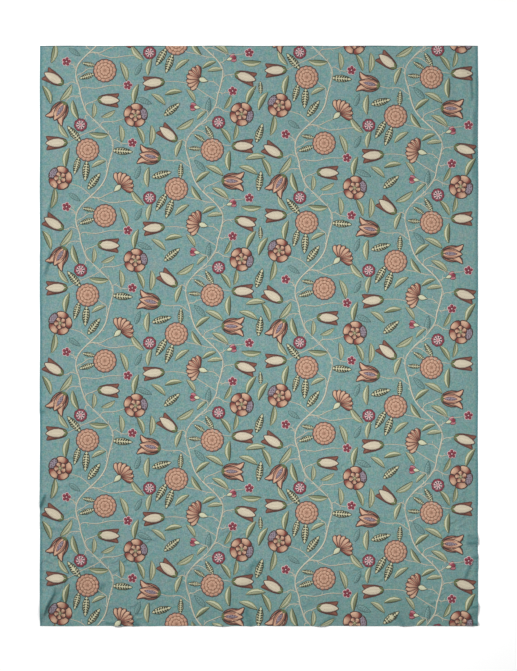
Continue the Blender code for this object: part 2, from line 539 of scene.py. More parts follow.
def curve_between(start, start_way, end, end_way, steps):
    """A smooth line that leaves start and reaches end in the given directions."""
    length = (end - start).length
    first = start + start_way * min(TWIG_SWERVE, 0.4 * length)
    last = end - end_way * 0.35 * length
    line = []
    for step in range(steps + 1):
        share = step / steps
        rest = 1 - share
        line.append(
            rest**3 * start + 3 * rest**2 * share * first
            + 3 * rest * share**2 * last + share**3 * end
        )
    return line


def is_inside(spots):
    """Whether circles keep to the repeat, short of the plain margin down each side."""
    room = REPEAT_WIDTH / 2 - PLAIN_MARGIN
    return all(abs(spot.x - REPEAT_WIDTH / 2) + spot.radius < room for spot in spots)


def is_clear(spots):
    """Whether circles keep off all that is taken, in this repeat and those round it."""
    others = np.array(taken)
    for spot in spots:
        for across, along in ((0, 0), (0, -2), (0, 2), (1, -1), (1, 1), (-1, -1), (-1, 1)):
            other_x = others[:, 0] + across * REPEAT_WIDTH
            other_y = others[:, 1] + along * (REPEAT_LENGTH / 2)
            if (np.hypot(other_x - spot.x, other_y - spot.y) < others[:, 2] + spot.radius).any():
                return False
    return True


def take(line, radius):
    """Marks the run of a line as taken."""
    taken.extend(Spot(point[0], point[1], radius) for point in line)


vines = []
for vine in VINE_MIDDLE:
    heights = [REPEAT_LENGTH * step / VINE_STEPS for step in range(VINE_STEPS + 1)]
    vines.append([vine_point(vine, height)[0] for height in heights])
    take(vines[-1], VINE_ROOM)
twigs = []
headings = []
for flower in FLOWERS:
    habit = HABITS[flower.kind]
    root, climbs = vine_point(flower.vine, flower.root_y)
    middle = Vector((flower.x, flower.y))
    heading = (middle - root - climbs * TWIG_RISE).normalized()
    heading.rotate(Matrix.Rotation(HEADING_SWAY * math.sin(2.1 * len(twigs)), 2))
    stalk_end = middle - heading * (habit.reach - STALK_OVERLAP)
    twigs.append(curve_between(root, climbs, stalk_end, heading, TWIG_STEPS))
    headings.append(math.atan2(heading.y, heading.x))
    stand = Placed(flower.x, flower.y, headings[-1] - math.pi / 2, 1.0, ANYWHERE)
    places[flower.kind].append(stand)
    for along, radius in habit.circles:
        take([middle + heading * along], radius + FLOWER_GAP)
for twig in twigs:
    take(twig[:-2], TWIG_ROOM)


# Vines and twigs
# Rows of stem stitch in a fawn wool, three side by side on a vine and two on a twig. Every
# thread goes down through the cloth, so each row is a low round cord with its foot underneath.
# The stitching, in millimetres: a thread's width, its stitches, and how deep its foot lies
THREAD = 0.95
CORD_STITCH = 2.6
SATIN_STITCH = 7.0
PLY_TWIST = 5.5
REVERSE = -1.25
SPINE_OVERLAP = 0.15
SPUR_LENGTH = 11.0
SHOOT_LENGTH = 13.0
# How it is laid on the cloth, in metres
YARN_DEPTH = 0.0003
DRAPE_FROM = 0.1
DRAPE_STEP = 0.0045
DRAPE_MARGIN = 0.0015
TRIM = CLOTH_LENGTH / 2 - 0.0012
STEM_COLOUR = seen(212, 207, 186)
STEM_SHADE = seen(158, 154, 136)
# Cross-sections of a cord and of a knot: shares of the half width, and of the rise. None is the
# foot, under the cloth.
CORD_SECTION = ((-0.8, None), (-1.0, 0.4), (0.0, 1.0), (1.0, 0.4), (0.8, None))
KNOT_SECTION = ((1.0, None), (1.0, 0.15), (0.72, 0.75), (0.25, 1.0))
Yarn = namedtuple("Yarn", "slot material")
# The row's offset from the vine's middle, its height and its colour
VINE_ROWS = ((-1.5, 0.0, STEM_SHADE), (0.0, 0.3, STEM_COLOUR), (1.5, 0.0, STEM_COLOUR))


def spun(slot, name, speckle=None):
    """Embroidery wool: each thread round and twisted, with its own tone, and painted shade in the
    grooves between threads and plies and at the stitch ends, where each thread dips into the cloth.
    """
    material, tree, shader = finish(name, Roughness=0.66, Sheen_Weight=0.25, Sheen_Roughness=0.5)
    thread = tree.add("ShaderNodeAttribute", output="Vector", attribute_name="thread")
    number = tree.add("ShaderNodeSeparateXYZ", {0: thread})
    along = number.beside("Y")
    strand = number.floor()
    ridge = (1 - (2 * number.fraction() - 1) ** 2) ** 0.6
    twist = (along * PLY_TWIST + number.fraction() * 4.0).wave() * 0.5 + 0.5
    own_shade = tree.add("ShaderNodeTexWhiteNoise", {"W": strand}, noise_dimensions="1D")
    stretched = combined(tree, strand * 3.7, along * 0.25)
    worn = tree.add("ShaderNodeTexNoise", {"Vector": stretched, "Scale": 1.0, "Detail": 2.0})
    stitch = (along / SATIN_STITCH + strand * 0.382).fraction()
    stitch = stitch.rising(0.0, 0.07) * (1 - stitch.rising(0.93, 1.0))
    # Painted shade: the dye darkens in the grooves between threads (ridge) and plies (twist) and
    # where each stitch dips into the cloth at its ends (stitch). own_shade and worn are the threads'
    # own tone and wear.
    shade = (0.72 + 0.28 * ridge) * (0.93 + 0.12 * own_shade) * (0.88 + 0.24 * worn)
    shade = shade * (0.94 + 0.06 * twist) * (0.90 + 0.10 * stitch)
    dye = tree.add("ShaderNodeAttribute", attribute_name="dye")
    colour = brightened(tree, dye, shade * 1.12)
    if speckle:
        place = tree.add("ShaderNodeTexCoord", output="Object")
        inputs = {"Vector": place, "Scale": 180.0, "Randomness": 0.45}
        seeds = tree.add("ShaderNodeTexVoronoi", inputs, voronoi_dimensions="2D")
        colour = mixed(tree, (1 - seeds.rising(0.22, 0.38)) * 0.95, colour, speckle)
    height = ridge * (0.6 + 0.4 * stitch) + 0.18 * twist
    relief = {"Height": height, "Distance": YARN_DEPTH, "Strength": 0.8}
    show(tree, shader, colour, tree.add("ShaderNodeBump", relief))
    return Yarn(slot, material)


def ways_along(line, closed=False):
    """The direction of a line at each of its points."""
    ways = []
    last = len(line) - 1
    for index in range(len(line)):
        before = line[index - 1] if index or closed else line[0]
        after = line[(index + 1) % len(line)] if index < last or closed else line[last]
        ways.append((Vector(after) - Vector(before)).normalized())
    return ways


def runs_along(line):
    """How far along a line each of its points is."""
    runs = [0.0]
    for before, after in zip(line, line[1:]):
        runs.append(runs[-1] + (Vector(after) - Vector(before)).length)
    return runs


def beside(point, way, offset):
    """The place this far to the left of a line at one of its points."""
    return Vector((point[0] - way.y * offset, point[1] + way.x * offset))


def shifted(line, offset):
    """The same line, moved sideways to its left."""
    return [beside(point, way, offset) for point, way in zip(line, ways_along(line))]


def wandering(line, reach, turns):
    """The line with slow sideways bends, nothing at either end."""
    bent = []
    for index, (point, way) in enumerate(zip(line, ways_along(line))):
        share = index / (len(line) - 1)
        offset = reach * math.sin(turns * 2 * math.pi * share) * math.sin(math.pi * share)
        bent.append(beside(point, way, offset))
    return bent


def rim(shape, grow=0.0):
    """The closed line round a blade, out of it by grow: its left side up, its right side down."""
    left, right = (
        [
            beside(point, way, hand * (reach + grow))
            for point, way, reach in zip(shape.spine, ways_along(shape.spine), shape.reach)
        ]
        for hand in (1.0, -1.0)
    )
    return left + right[::-1]


class Needlework:
    """Shells of worked thread in one yarn, in millimetres, with the cloth's face at height 0.

    Every point has its dye and its place on the thread: the thread's number, and the distance
    along it. The material draws the threads from these.
    """

    def __init__(self, yarn):
        self.yarn = yarn
        self.points = []
        self.faces = []
        self.dyes = []
        self.threads = []

    def loft(self, rings, closed=False):
        """Joins rings of (place, dye, thread) points into a shell, a loop or one with two ends."""
        first = len(self.points)
        around = len(rings[0])
        for ring in rings:
            for place, dye, thread in ring:
                self.points.append(place)
                self.dyes.append(dye)
                self.threads.append(thread)
        for step in range(len(rings) if closed else len(rings) - 1):
            here = first + step * around
            there = first + (step + 1) % len(rings) * around
            for side in range(around):
                after = (side + 1) % around
                self.faces.append((here + side, here + after, there + after, there + side))
        if not closed:
            last = first + (len(rings) - 1) * around
            self.faces.append(tuple(range(first + around - 1, first - 1, -1)))
            self.faces.append(tuple(range(last, last + around)))

    def cord(self, line, width, rise, dye, lift=0.0, closed=False, ends=1.0):
        """A row of stem stitch along a line. ends is its width at the ends as a share."""
        rings = []
        track = zip(line, ways_along(line, closed), runs_along(line))
        for index, (point, way, run) in enumerate(track):
            near_end = abs(2.0 * index / (len(line) - 1) - 1.0)
            half = width / 2 * (1.0 - (1.0 - ends) * near_end**2)
            ring = []
            for across, height in CORD_SECTION:
                z = REVERSE if height is None else lift + rise * height
                thread = (run / CORD_STITCH + across * 0.55, run, 0.0)
                ring.append(((*beside(point, way, half * across), z), dye, thread))
            rings.append(ring)
        self.loft(rings, closed)

    def edge(self, shape, grow, width, rise, dye, lift=0.0):
        """A cord all round a blade, out of it by grow."""
        self.cord(rim(shape, grow), width, rise, dye, lift, closed=True)

    def satin(self, shape, dye, rise=0.9, lift=0.0, across=4, slant=None, hand=0):
        """A blade in satin stitch, domed over its spine. hand works only its left, or its right.

        dye is a colour, or gives one at a share of the length and a share of the reach, -1 to 1.
        Threads lie across the spine, raked by slant, or along it where slant is None.
        """
        sides = [2.0 * step / across - 1.0 for step in range(across + 1)]
        section = [(side, math.sqrt(1.0 - side * side)) for side in sides]
        section += [(0.95, None), (-0.95, None)]
        rings = []
        track = zip(shape.spine, ways_along(shape.spine), runs_along(shape.spine), shape.reach)
        for index, (point, way, run, reach) in enumerate(track):
            share = index / (len(shape.spine) - 1)
            dome = rise * (0.35 + 0.65 * math.sin(math.pi * share))
            ring = []
            for side, height in section:
                z = REVERSE if height is None else lift + 0.1 + dome * height
                offset = side * (SPINE_OVERLAP if side * hand < 0 else reach)
                if slant is None:
                    thread = (side * max(shape.reach) / THREAD, run, 0.0)
                else:
                    thread = ((run + slant * abs(offset)) / THREAD, offset, 0.0)
                colour = dye(share, side) if callable(dye) else dye
                ring.append(((*beside(point, way, offset), z), colour, thread))
            rings.append(ring)
        self.loft(rings)

    def knot(self, x, y, radius, rise, dye, lift=0.0, sides=6):
        """A French knot or a small padded dome."""
        rings = []
        for scale, height in KNOT_SECTION:
            z = REVERSE if height is None else lift + rise * height
            ring = []
            for side in range(sides):
                around = spoke(2 * math.pi * side / sides, radius * scale)
                place = (x + around.x, y + around.y, z)
                ring.append((place, dye, (side * 0.5, scale * radius, 0.0)))
            rings.append(ring)
        self.loft(rings)

    def mesh(self, name):
        """The work as a mesh in metres, with its dye and thread attributes."""
        mesh = bpy.data.meshes.new(name)
        mesh.from_pydata((np.array(self.points) * MM).tolist(), [], self.faces)
        dye = mesh.attributes.new("dye", "FLOAT_COLOR", "POINT")
        dye.data.foreach_set("color", np.array(self.dyes, dtype=np.float32).ravel())
        thread = mesh.attributes.new("thread", "FLOAT_VECTOR", "POINT")
        thread.data.foreach_set("vector", np.array(self.threads, dtype=np.float32).ravel())
        shell = bmesh.new()
        shell.from_mesh(mesh)
        bmesh.ops.recalc_face_normals(shell, faces=shell.faces)
        shell.to_mesh(mesh)
        shell.free()
        mesh.shade_smooth()
        return mesh


def spoke(angle, radius):
    """A point at an angle and a distance from the motif's middle."""
    return Vector((math.cos(angle), math.sin(angle))) * radius


def repeat_tree():
    """Sets motifs at the points of one repeat, repeats them, and drops them on the cloth."""
    group = bpy.data.node_groups.new("repeat_over_the_cloth", "GeometryNodeTree")
    tree = Tree(group)
    for name, kind, default in (
        ("Geometry", "NodeSocketGeometry", None),
        ("Motif", "NodeSocketObject", None),
        ("Cloth", "NodeSocketObject", None),
        ("Yarn", "NodeSocketMaterial", None),
        ("Rows", "NodeSocketInt", 6),
        ("Repeat Width", "NodeSocketFloat", REPEAT_WIDTH * MM),
        ("Repeat Length", "NodeSocketFloat", REPEAT_LENGTH * MM),
        ("Half Length", "NodeSocketFloat", CLOTH_LENGTH / 2),
        ("Reach", "NodeSocketFloat", 0.05),
    ):
        socket = group.interface.new_socket(name, in_out="INPUT", socket_type=kind)
        if default is not None:
            socket.default_value = default
    group.interface.new_socket("Geometry", in_out="OUTPUT", socket_type="NodeSocketGeometry")
    points = tree.add("NodeGroupInput")
    rows = points.beside("Rows")
    width = points.beside("Repeat Width")
    half_length = points.beside("Half Length")
    place = tree.add("GeometryNodeInputPosition")
    x = tree.add("ShaderNodeSeparateXYZ", {0: place})
    y = x.beside("Y")
    turn, size, room = (
        tree.add("GeometryNodeInputNamedAttribute", {"Name": name}, data_type="FLOAT")
        for name in ("turn", "size", "room")
    )
    # The lower left corner of every repeat, in two columns, the second half a repeat higher. The
    # thousandth keeps a whole quotient from falling short.
    index = tree.add("GeometryNodeInputIndex")
    column = (index / rows + 0.001).floor()
    row = index - column * rows
    corner_y = (row - rows / 2 + 0.5 * column) * points.beside("Repeat Length")
    inputs = {"Count": rows * 2.0, "Position": combined(tree, (column - 1.0) * width, corner_y)}
    corners = tree.add("GeometryNodePoints", inputs)
    stands = tree.add("GeometryNodeInstanceOnPoints", {"Points": corners, "Instance": points})
    stands = tree.add("GeometryNodeRealizeInstances", {0: stands})
    # What would lie wholly past a cut end, or hang over a selvedge, isn't worked
    over_the_end = y.size() - points.beside("Reach") - half_length
    over = over_the_end.larger(x.size() + MM * room - width)
    inputs = {"Geometry": stands, "Selection": over.above(0.0)}
    stands = tree.add("GeometryNodeDeleteGeometry", inputs, domain="POINT")
    inputs = {
        "Points": stands,
        "Instance": tree.add(
            "GeometryNodeObjectInfo", {"Object": points.beside("Motif")}, output="Geometry"
        ),
        "Rotation": combined(tree, z=turn),
        "Scale": combined(tree, size, size, 1.0),
    }
    work = tree.add("GeometryNodeInstanceOnPoints", inputs)
    work = tree.add("GeometryNodeRealizeInstances", {0: work})
    # Each point keeps its own height over the highest of the cloth's face close by
    inputs = {"Object": points.beside("Cloth")}
    target = tree.add("GeometryNodeObjectInfo", inputs, output="Geometry")
    furthest = half_length - DRAPE_MARGIN
    inside = y.larger(0 - furthest).smaller(furthest)
    face = 0.0
    for across in (-DRAPE_STEP, 0.0, DRAPE_STEP):
        for along in (-DRAPE_STEP, 0.0, DRAPE_STEP):
            inputs = {
                "Target Geometry": target,
                "Source Position": combined(tree, x + across, inside + along, DRAPE_FROM),
                "Ray Direction": (0.0, 0.0, -1.0),
                "Ray Length": 2 * DRAPE_FROM,
            }
            hit = tree.add("GeometryNodeRaycast", inputs, output="Hit Position")
            face = tree.add("ShaderNodeSeparateXYZ", {0: hit}, output="Z").larger(face)
    work = tree.add("GeometryNodeSetPosition", {"Geometry": work, "Offset": combined(tree, z=face)})
    inputs = {"Geometry": work, "Material": points.beside("Yarn")}
    tree.add("NodeGroupOutput", {0: tree.add("GeometryNodeSetMaterial", inputs)})
    return group


sewing = repeat_tree()
sewing_inputs = {item.name: item.identifier for item in sewing.interface.items_tree}


def trim(mesh):
    """Cuts the work off at the two cut ends of the cloth, and closes what was cut."""
    work = bmesh.new()
    work.from_mesh(mesh)
    for end in (-1.0, 1.0):
        everything = work.verts[:] + work.edges[:] + work.faces[:]
        cut = bmesh.ops.bisect_plane(
            work, geom=everything, plane_co=(0, end * TRIM, 0), plane_no=(0, end, 0), clear_outer=True
        )
        edges = [part for part in cut["geom_cut"] if isinstance(part, bmesh.types.BMEdge)]
        bmesh.ops.holes_fill(work, edges=edges)
    bmesh.ops.triangulate(work, faces=[face for face in work.faces if len(face.verts) > 4])
    work.to_mesh(mesh)
    work.free()


def sew(kind, reach=50.0, **parts):
    """Works a motif all over the cloth. Each part, in one yarn, is one piece that rides with it."""
    stands = places[kind]
    for part, work in parts.items():
        motif = bpy.data.objects.new("motif", work.mesh("motif"))
        plan = bpy.data.meshes.new("plan")
        plan.from_pydata([(stand.x * MM, stand.y * MM, 0.0) for stand in stands], [], [])
        for attribute in ("turn", "size", "room"):
            layer = plan.attributes.new(attribute, "FLOAT", "POINT")
            layer.data.foreach_set("value", [getattr(stand, attribute) for stand in stands])
        planner = bpy.data.objects.new("plan", plan)
        bpy.context.collection.objects.link(motif)
        bpy.context.collection.objects.link(planner)
        modifier = planner.modifiers.new("sewing", "NODES")
        modifier.node_group = sewing
        values = {"Motif": motif, "Cloth": cloth, "Yarn": work.yarn.material, "Reach": reach * MM}
        for socket, value in values.items():
            modifier[sewing_inputs[socket]] = value
        depsgraph = bpy.context.evaluated_depsgraph_get()
        depsgraph.update()
        mesh = bpy.data.meshes.new_from_object(planner.evaluated_get(depsgraph))
        mesh.name = f"{kind}_{part}"
        trim(mesh)
        piece = bpy.data.objects.new(mesh.name, mesh)
        bpy.context.collection.objects.link(piece)
        for helper in (planner, motif):
            bpy.data.objects.remove(helper, do_unlink=True)
        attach(piece, "root")


stems = Needlework(spun("stem_yarn", "fawn_stem_wool"))


def shoot(line, index, hand, length, width, rise, ends, bow):
    """A short stem that leaves a longer one half to its left or, where hand is -1, its right."""
    way = ways_along(line)[index]
    tip = line[index] + (way + Vector((-way.y, way.x)) * hand).normalized() * length
    middle = (line[index] + tip) / 2 + way * bow
    stems.cord([line[index], middle, tip], width, rise, STEM_COLOUR, ends=ends)


for climb in vines:
    for offset, height, colour in VINE_ROWS:
        stems.cord(wandering(shifted(climb, offset), 1.1, 8.0 + offset), 1.8, 0.9, colour, height)
    for index in range(2, VINE_STEPS, 5):
        shoot(climb, index, 1.0 if index % 2 else -1.0, SPUR_LENGTH, 2.0, 0.8, 0.6, 0.0)
for number, twig in enumerate(twigs):
    sway = 1.6 + 0.03 * (twig[-1] - twig[0]).length
    bent = wandering(twig, sway, 1.0 + 0.5 * (number % 2))
    stems.cord(shifted(bent, -0.7), 1.7, 0.8, STEM_SHADE, ends=0.7)
    stems.cord(shifted(bent, 0.7), 1.7, 0.8, STEM_COLOUR, lift=0.1, ends=0.7)
    for index in (3, 6):
        hand = 1.0 if (number + index) % 2 else -1.0
        shoot(bent, index, hand, SHOOT_LENGTH, 1.5, 0.7, 0.5, 1.0)
places["vine"] = [Placed(0.0, 0.0, 0.0, 1.0, ANYWHERE)]
sew("vine", reach=2.5 * REPEAT_LENGTH, stems=stems)


# Leaves
# Lance leaves in two greens, fern leaves spotted with dark ovals, and plain outlined leaves in
# the ground's own teal. They grow from the vines and flowers wherever there is room for one.
LEAF_PALE = seen(214, 216, 182)
LEAF_GREEN = seen(94, 108, 60)
LEAF_EDGE = seen(50, 60, 34)
LEAF_MIDDLE = seen(128, 140, 94)
FERN_PALE = seen(210, 207, 170)
FERN_SPOT = seen(46, 56, 30)
SHADOW_LINE = seen(50, 94, 92)
SHADOW_FILL = seen(124, 164, 160)
LEAF_LENGTHS = (62.0, 55.0, 48.0, 40.0)
LEAF = LEAF_LENGTHS[0]
SHADOW_LENGTHS = (48.0, 42.0)
LEAF_WIDTH = 0.29
FERN_WIDTH = 0.33
SHADOW_WIDTH = 0.38
LEAF_BOW = 0.10
LEAF_SWINGS = (0.0, 0.3, -0.3, 0.6, -0.6)
ALL_ROUND = tuple(1.1 * step for step in range(6))
SPIRAL = 2.4
SIDE_LEAVES = 9
SHADOW_LEAVES = 9
VINE_LEAVES = 9
LEAF_KINDS = ("lance_left", "lance_right", "fern")
LEAVES_ROUND = {"dahlia": 3, "rose": 2, "tulip": 2, "carnation": 1}
Blade = namedtuple("Blade", "spine reach")
places.update({kind: [] for kind in LEAF_KINDS + ("shadow",)})


def blade(
    length, width, fullest=0.5, blunt=0.8, bow=0.0, steps=7, foot=(0.0, 0.0), heading=math.pi / 2
):
    """A petal or leaf: its spine from foot to tip, bowed to the left, and its reach on each side.

    fullest is where along it is widest. blunt is under 1 for round ends and over 1 for points.
    """
    way = Vector((math.cos(heading), math.sin(heading)))
    side = Vector((-way.y, way.x))
    power = math.log(0.5) / math.log(fullest)
    spine = []
    reach = []
    for step in range(steps + 1):
        share = 0.5 - 0.5 * math.cos(math.pi * step / steps)
        spine.append(
            Vector(foot) + way * length * share + side * 4 * bow * length * share * (1 - share)
        )
        swell = max(0.0, math.sin(math.pi * share**power)) ** blunt
        reach.append(max(0.25, width / 2 * swell))
    return Blade(spine, reach)


def between(first, second, share):
    """A dye between two others."""
    share = max(0.0, min(1.0, share))
    return tuple(a + (b - a) * share for a, b in zip(first, second))


def blend(first, second, start=0.0, along=0.0, sideways=0.0):
    """Two dyes that mix along a blade and out from its spine: the second's share, and its gain."""
    return lambda share, side: between(first, second, start + along * share + sideways * abs(side))


def grow_leaf(kind, foot, heading, gap=2.5, lengths=LEAF_LENGTHS, swings=LEAF_SWINGS):
    """Sets a leaf's foot at a point if there is room, the longest and straightest first.

    A leaf over the side of the repeat is left out where that side is the cloth's selvedge.
    """
    bow = {"lance_left": LEAF_BOW, "lance_right": -LEAF_BOW}.get(kind, 0.0)
    for length in lengths:
        for swing in swings:
            shape = blade(length, length * LEAF_WIDTH, bow=bow, foot=foot, heading=heading + swing)
            line = list(zip(shape.spine, shape.reach))
            spots = [Spot(point.x, point.y, reach + gap) for point, reach in line[3:]]
            if is_clear(spots):
                taken.extend(spots + [Spot(line[2][0].x, line[2][0].y, 2.0)])
                room = ANYWHERE
                if not is_inside([Spot(point.x, point.y, reach) for point, reach in line]):
                    room = min(abs(foot[0]), abs(REPEAT_WIDTH - foot[0])) + 1.0
                turn = heading + swing - math.pi / 2
                places[kind].append(Placed(*foot, turn, length / LEAF, room))
                return True
    return False


def scattered(columns, rows, first_x, pitch_x, pitch_y, sway):
    """Points all over the repeat in rows, each a little off its place, with a heading for each."""
    for step in range(columns * rows):
        heading = SPIRAL * step
        x = first_x + pitch_x * (step % columns) + sway * math.sin(heading)
        y = pitch_y * (step // columns) + sway * math.cos(heading)
        yield step, (x, y), heading


# Over the sides of the repeat
for step in range(SIDE_LEAVES):
    foot = (9.0 * math.sin(SPIRAL * step), REPEAT_LENGTH * (step + 0.5) / SIDE_LEAVES)
    kind = ("lance_left", "fern", "lance_right")[step % 3]
    grow_leaf(kind, foot, SPIRAL * step, gap=5.0, swings=ALL_ROUND)
# Round the flowers, each with the number that its kind has
for index, (flower, heading) in enumerate(zip(FLOWERS, headings)):
    wanted = LEAVES_ROUND.get(flower.kind, index % 2)
    for step in (2, -2, 1, -1, 3, -3, 4):
        if not wanted:
            break
        bearing = heading + step * math.pi / 4 + 0.35 * math.sin(index)
        away = Vector((math.cos(bearing), math.sin(bearing))) * (HABITS[flower.kind].reach - 1.0)
        kind = "fern" if flower.kind == "dahlia" else LEAF_KINDS[(index + step) % 2]
        wanted -= grow_leaf(kind, (flower.x + away.x, flower.y + away.y), bearing)
# The teal ones, in gaps here and there
for step, foot, heading in scattered(12, 9, 30.0, 54.0, 50.0, 12.0):
    if step % 4 == 1 and len(places["shadow"]) < SHADOW_LEAVES:
        grow_leaf("shadow", foot, heading, gap=3.5, lengths=SHADOW_LENGTHS, swings=ALL_ROUND)
# Along the vines and at the middles of the twigs
for vine in VINE_MIDDLE:
    for step in range(VINE_LEAVES):
        point, climbs = vine_point(vine, REPEAT_LENGTH * (step + 0.5) / VINE_LEAVES)
        bearing = math.atan2(climbs.y, climbs.x) + (0.85 if step % 2 else -0.85)
        grow_leaf(LEAF_KINDS[step % 3], point, bearing, gap=3.5)
for index, twig in enumerate(twigs):
    if index % 3:
        way = ways_along(twig)[5]
        bearing = math.atan2(way.y, way.x) + (0.9 if index % 2 else -0.9)
        grow_leaf(LEAF_KINDS[index % 2], twig[5], bearing, gap=4.0, lengths=LEAF_LENGTHS[1:])
# In the gaps that are still wide
for step, foot, heading in scattered(16, 12, 24.0, 40.0, 38.0, 9.0):
    kind = LEAF_KINDS[2 - step % 3]
    grow_leaf(kind, foot, heading, gap=9.5, lengths=LEAF_LENGTHS[:3], swings=ALL_ROUND)

# A lance leaf's outer half is pale inside a middle green edge, and its other half dark.
green_wool = spun("leaf_yarn", "green_leaf_wool")
for hand, kind, paleness in ((1, "lance_left", 0.06), (-1, "lance_right", 0.32)):
    shape = blade(LEAF, LEAF * LEAF_WIDTH, bow=hand * LEAF_BOW)
    pale = blend(LEAF_PALE, LEAF_GREEN, 0.5, sideways=-0.7)
    dark = blend(LEAF_GREEN, LEAF_PALE, paleness, along=0.24)
    leaves = Needlework(green_wool)
    leaves.satin(shape, pale, slant=0.6, across=3, hand=hand)
    leaves.satin(shape, dark, slant=0.6, across=3, hand=-hand)
    veins = Needlework(green_wool)
    outline = rim(shape, 0.3)
    halves = (outline[: len(shape.spine)], outline[len(shape.spine) :])[::hand]
    for line, colour in zip(halves, (LEAF_MIDDLE, LEAF_EDGE)):
        veins.cord(line, 2.4, 0.9, colour, ends=0.5)
    veins.cord(shape.spine[:-1], 2.1, 1.3, LEAF_EDGE, ends=0.5)
    sew(kind, leaves=leaves, veins=veins)

leaves = Needlework(green_wool)
leaves.satin(blade(LEAF, LEAF * FERN_WIDTH, fullest=0.45), FERN_PALE, slant=0.5)
for step in range(6):
    share = 0.13 + 0.125 * step
    length = 10.4 * math.sin(math.pi * share) ** 0.6
    for hand in (1, -1):
        heading = math.pi / 2 - hand * 0.9
        oval = blade(length, 6.8, steps=3, foot=(hand, LEAF * share), heading=heading)
        leaves.satin(oval, FERN_SPOT, lift=0.75, across=2, rise=0.5)
edges = Needlework(green_wool)
wavy = rim(blade(LEAF, LEAF * FERN_WIDTH, fullest=0.45, steps=10), 0.3)
wavy = [Vector((p.x * (1.10 if index % 2 else 0.97), p.y)) for index, p in enumerate(wavy)]
edges.cord(wavy, 2.3, 0.9, LEAF_EDGE, closed=True)
sew("fern", leaves=leaves, edges=edges)

shape = blade(LEAF, LEAF * SHADOW_WIDTH, fullest=0.42)
leaves = Needlework(spun("leaf_yarn", "teal_shadow_thread"))
leaves.satin(shape, SHADOW_FILL, slant=0.5, across=2, rise=0.25)
leaves.edge(shape, 0.0, 1.7, 0.6, SHADOW_LINE)
leaves.cord(shape.spine, 1.6, 0.6, SHADOW_LINE)
for step in range(4):
    share = 0.2 + 0.16 * step
    start = Vector((0.0, LEAF * share))
    for hand in (1, -1):
        end = start + Vector((hand * LEAF * 0.13 * math.sin(math.pi * share), LEAF * 0.12))
        leaves.cord([start, (start + end) / 2, end], 1.4, 0.6, SHADOW_LINE)
sew("shadow", leaves=leaves)


# Dahlias
# The round flowers: three rings of short petals in peach wool, each over the next, edged with
# rows of tan, and a row of mauve-brown round the whole. Knots fill the heart.
DAHLIA_BODY = seen(218, 179, 149)
DAHLIA_RIM = seen(190, 130, 108)
DAHLIA_LINE = seen(134, 80, 46)
DAHLIA_OUTLINE = seen(88, 48, 40)
outer_dye = blend(DAHLIA_BODY, DAHLIA_RIM, along=0.9)
inner_dye = blend(DAHLIA_BODY, DAHLIA_RIM, 0.8, along=-0.8)
DahliaRing = namedtuple("DahliaRing", "petals inner outer width lift dye")
DAHLIA_RINGS = (
    DahliaRing(14, 19.0, 35.0, 15.5, 0.0, outer_dye),
    DahliaRing(11, 10.0, 25.5, 14.0, 0.5, inner_dye),
    DahliaRing(8, 3.0, 15.5, 11.5, 1.0, inner_dye),
)
peach_wool = spun("terracotta_yarn", "peach_wool")
brown_wool = spun("rust_outline_yarn", "rust_and_brown_wool")


def petal_at(angle, inner, length, width, **form):
    """A petal that points outwards, with its foot this far from the motif's middle."""
    return blade(length, width, foot=spoke(angle, inner), heading=angle, **form)


def scalloped(petals, radius, depth, phase=0.0, steps=5):
    """A closed line of round scallops, one to a petal."""
    line = []
    for step in range(petals * steps):
        angle = 2 * math.pi * (step + 0.5) / (petals * steps)
        bulge = abs(math.cos(petals * (angle - phase) / 2)) ** 0.7
        line.append(spoke(angle, radius - depth + depth * bulge))
    return line


petals = Needlework(peach_wool)
rows = Needlework(peach_wool)
outlines = Needlework(brown_wool)
for number, ring in enumerate(DAHLIA_RINGS):
    phase = 0.3 * number
    for petal in range(ring.petals):
        angle = phase + 2 * math.pi * petal / ring.petals
        length = ring.outer - ring.inner
        shape = petal_at(angle, ring.inner, length, ring.width, fullest=0.62, blunt=0.55, steps=5)
        petals.satin(shape, ring.dye, lift=ring.lift, across=3)
    if number:
        edge = scalloped(ring.petals, ring.outer, 2.0, phase, steps=4)
        rows.cord(edge, 2.6, 0.9, DAHLIA_LINE, ring.lift, closed=True)
outlines.cord(scalloped(14, 36.0, 2.2, steps=4), 3.0, 1.1, DAHLIA_OUTLINE, closed=True)
rows.knot(0, 0, 5.2, 1.2, DAHLIA_LINE, lift=1.2, sides=10)
for petal in range(6):
    rows.knot(*spoke(2 * math.pi * petal / 6, 2.8), 1.2, 0.8, DAHLIA_BODY, lift=2.1)
sew("dahlia", petals=petals, rows=rows, outlines=outlines)


# Roses
# Open flowers with five broad petals in peach shaded to rust, one of them in speckled mauve,
# five smaller petals inside them, and a green eye of knots. Each petal has its dark outline.
PEACH = seen(218, 177, 146)
RUST = seen(132, 52, 38)
MAUVE = seen(152, 138, 150)
MAUVE_SEED = seen(66, 40, 54)
DARK = seen(64, 26, 16)
EYE = seen(150, 148, 108)
ROSE_PETALS = 5
RoseLayer = namedtuple("RoseLayer", "inner length width lift")
ROSE_LAYERS = (RoseLayer(9.0, 28.0, 38.0, 0.0), RoseLayer(2.0, 17.0, 17.0, 0.8))
mauve_wool = spun("mauve_yarn", "mauve_speckled_wool", speckle=MAUVE_SEED)


def shaded_petal(share, side):
    """Peach, with rust at the foot and down the right flank, where the next petal lies over."""
    foot = 1.4 - share / 0.45
    flank = (-side - 0.02) / 0.50
    return between(PEACH, RUST, max(foot, flank))


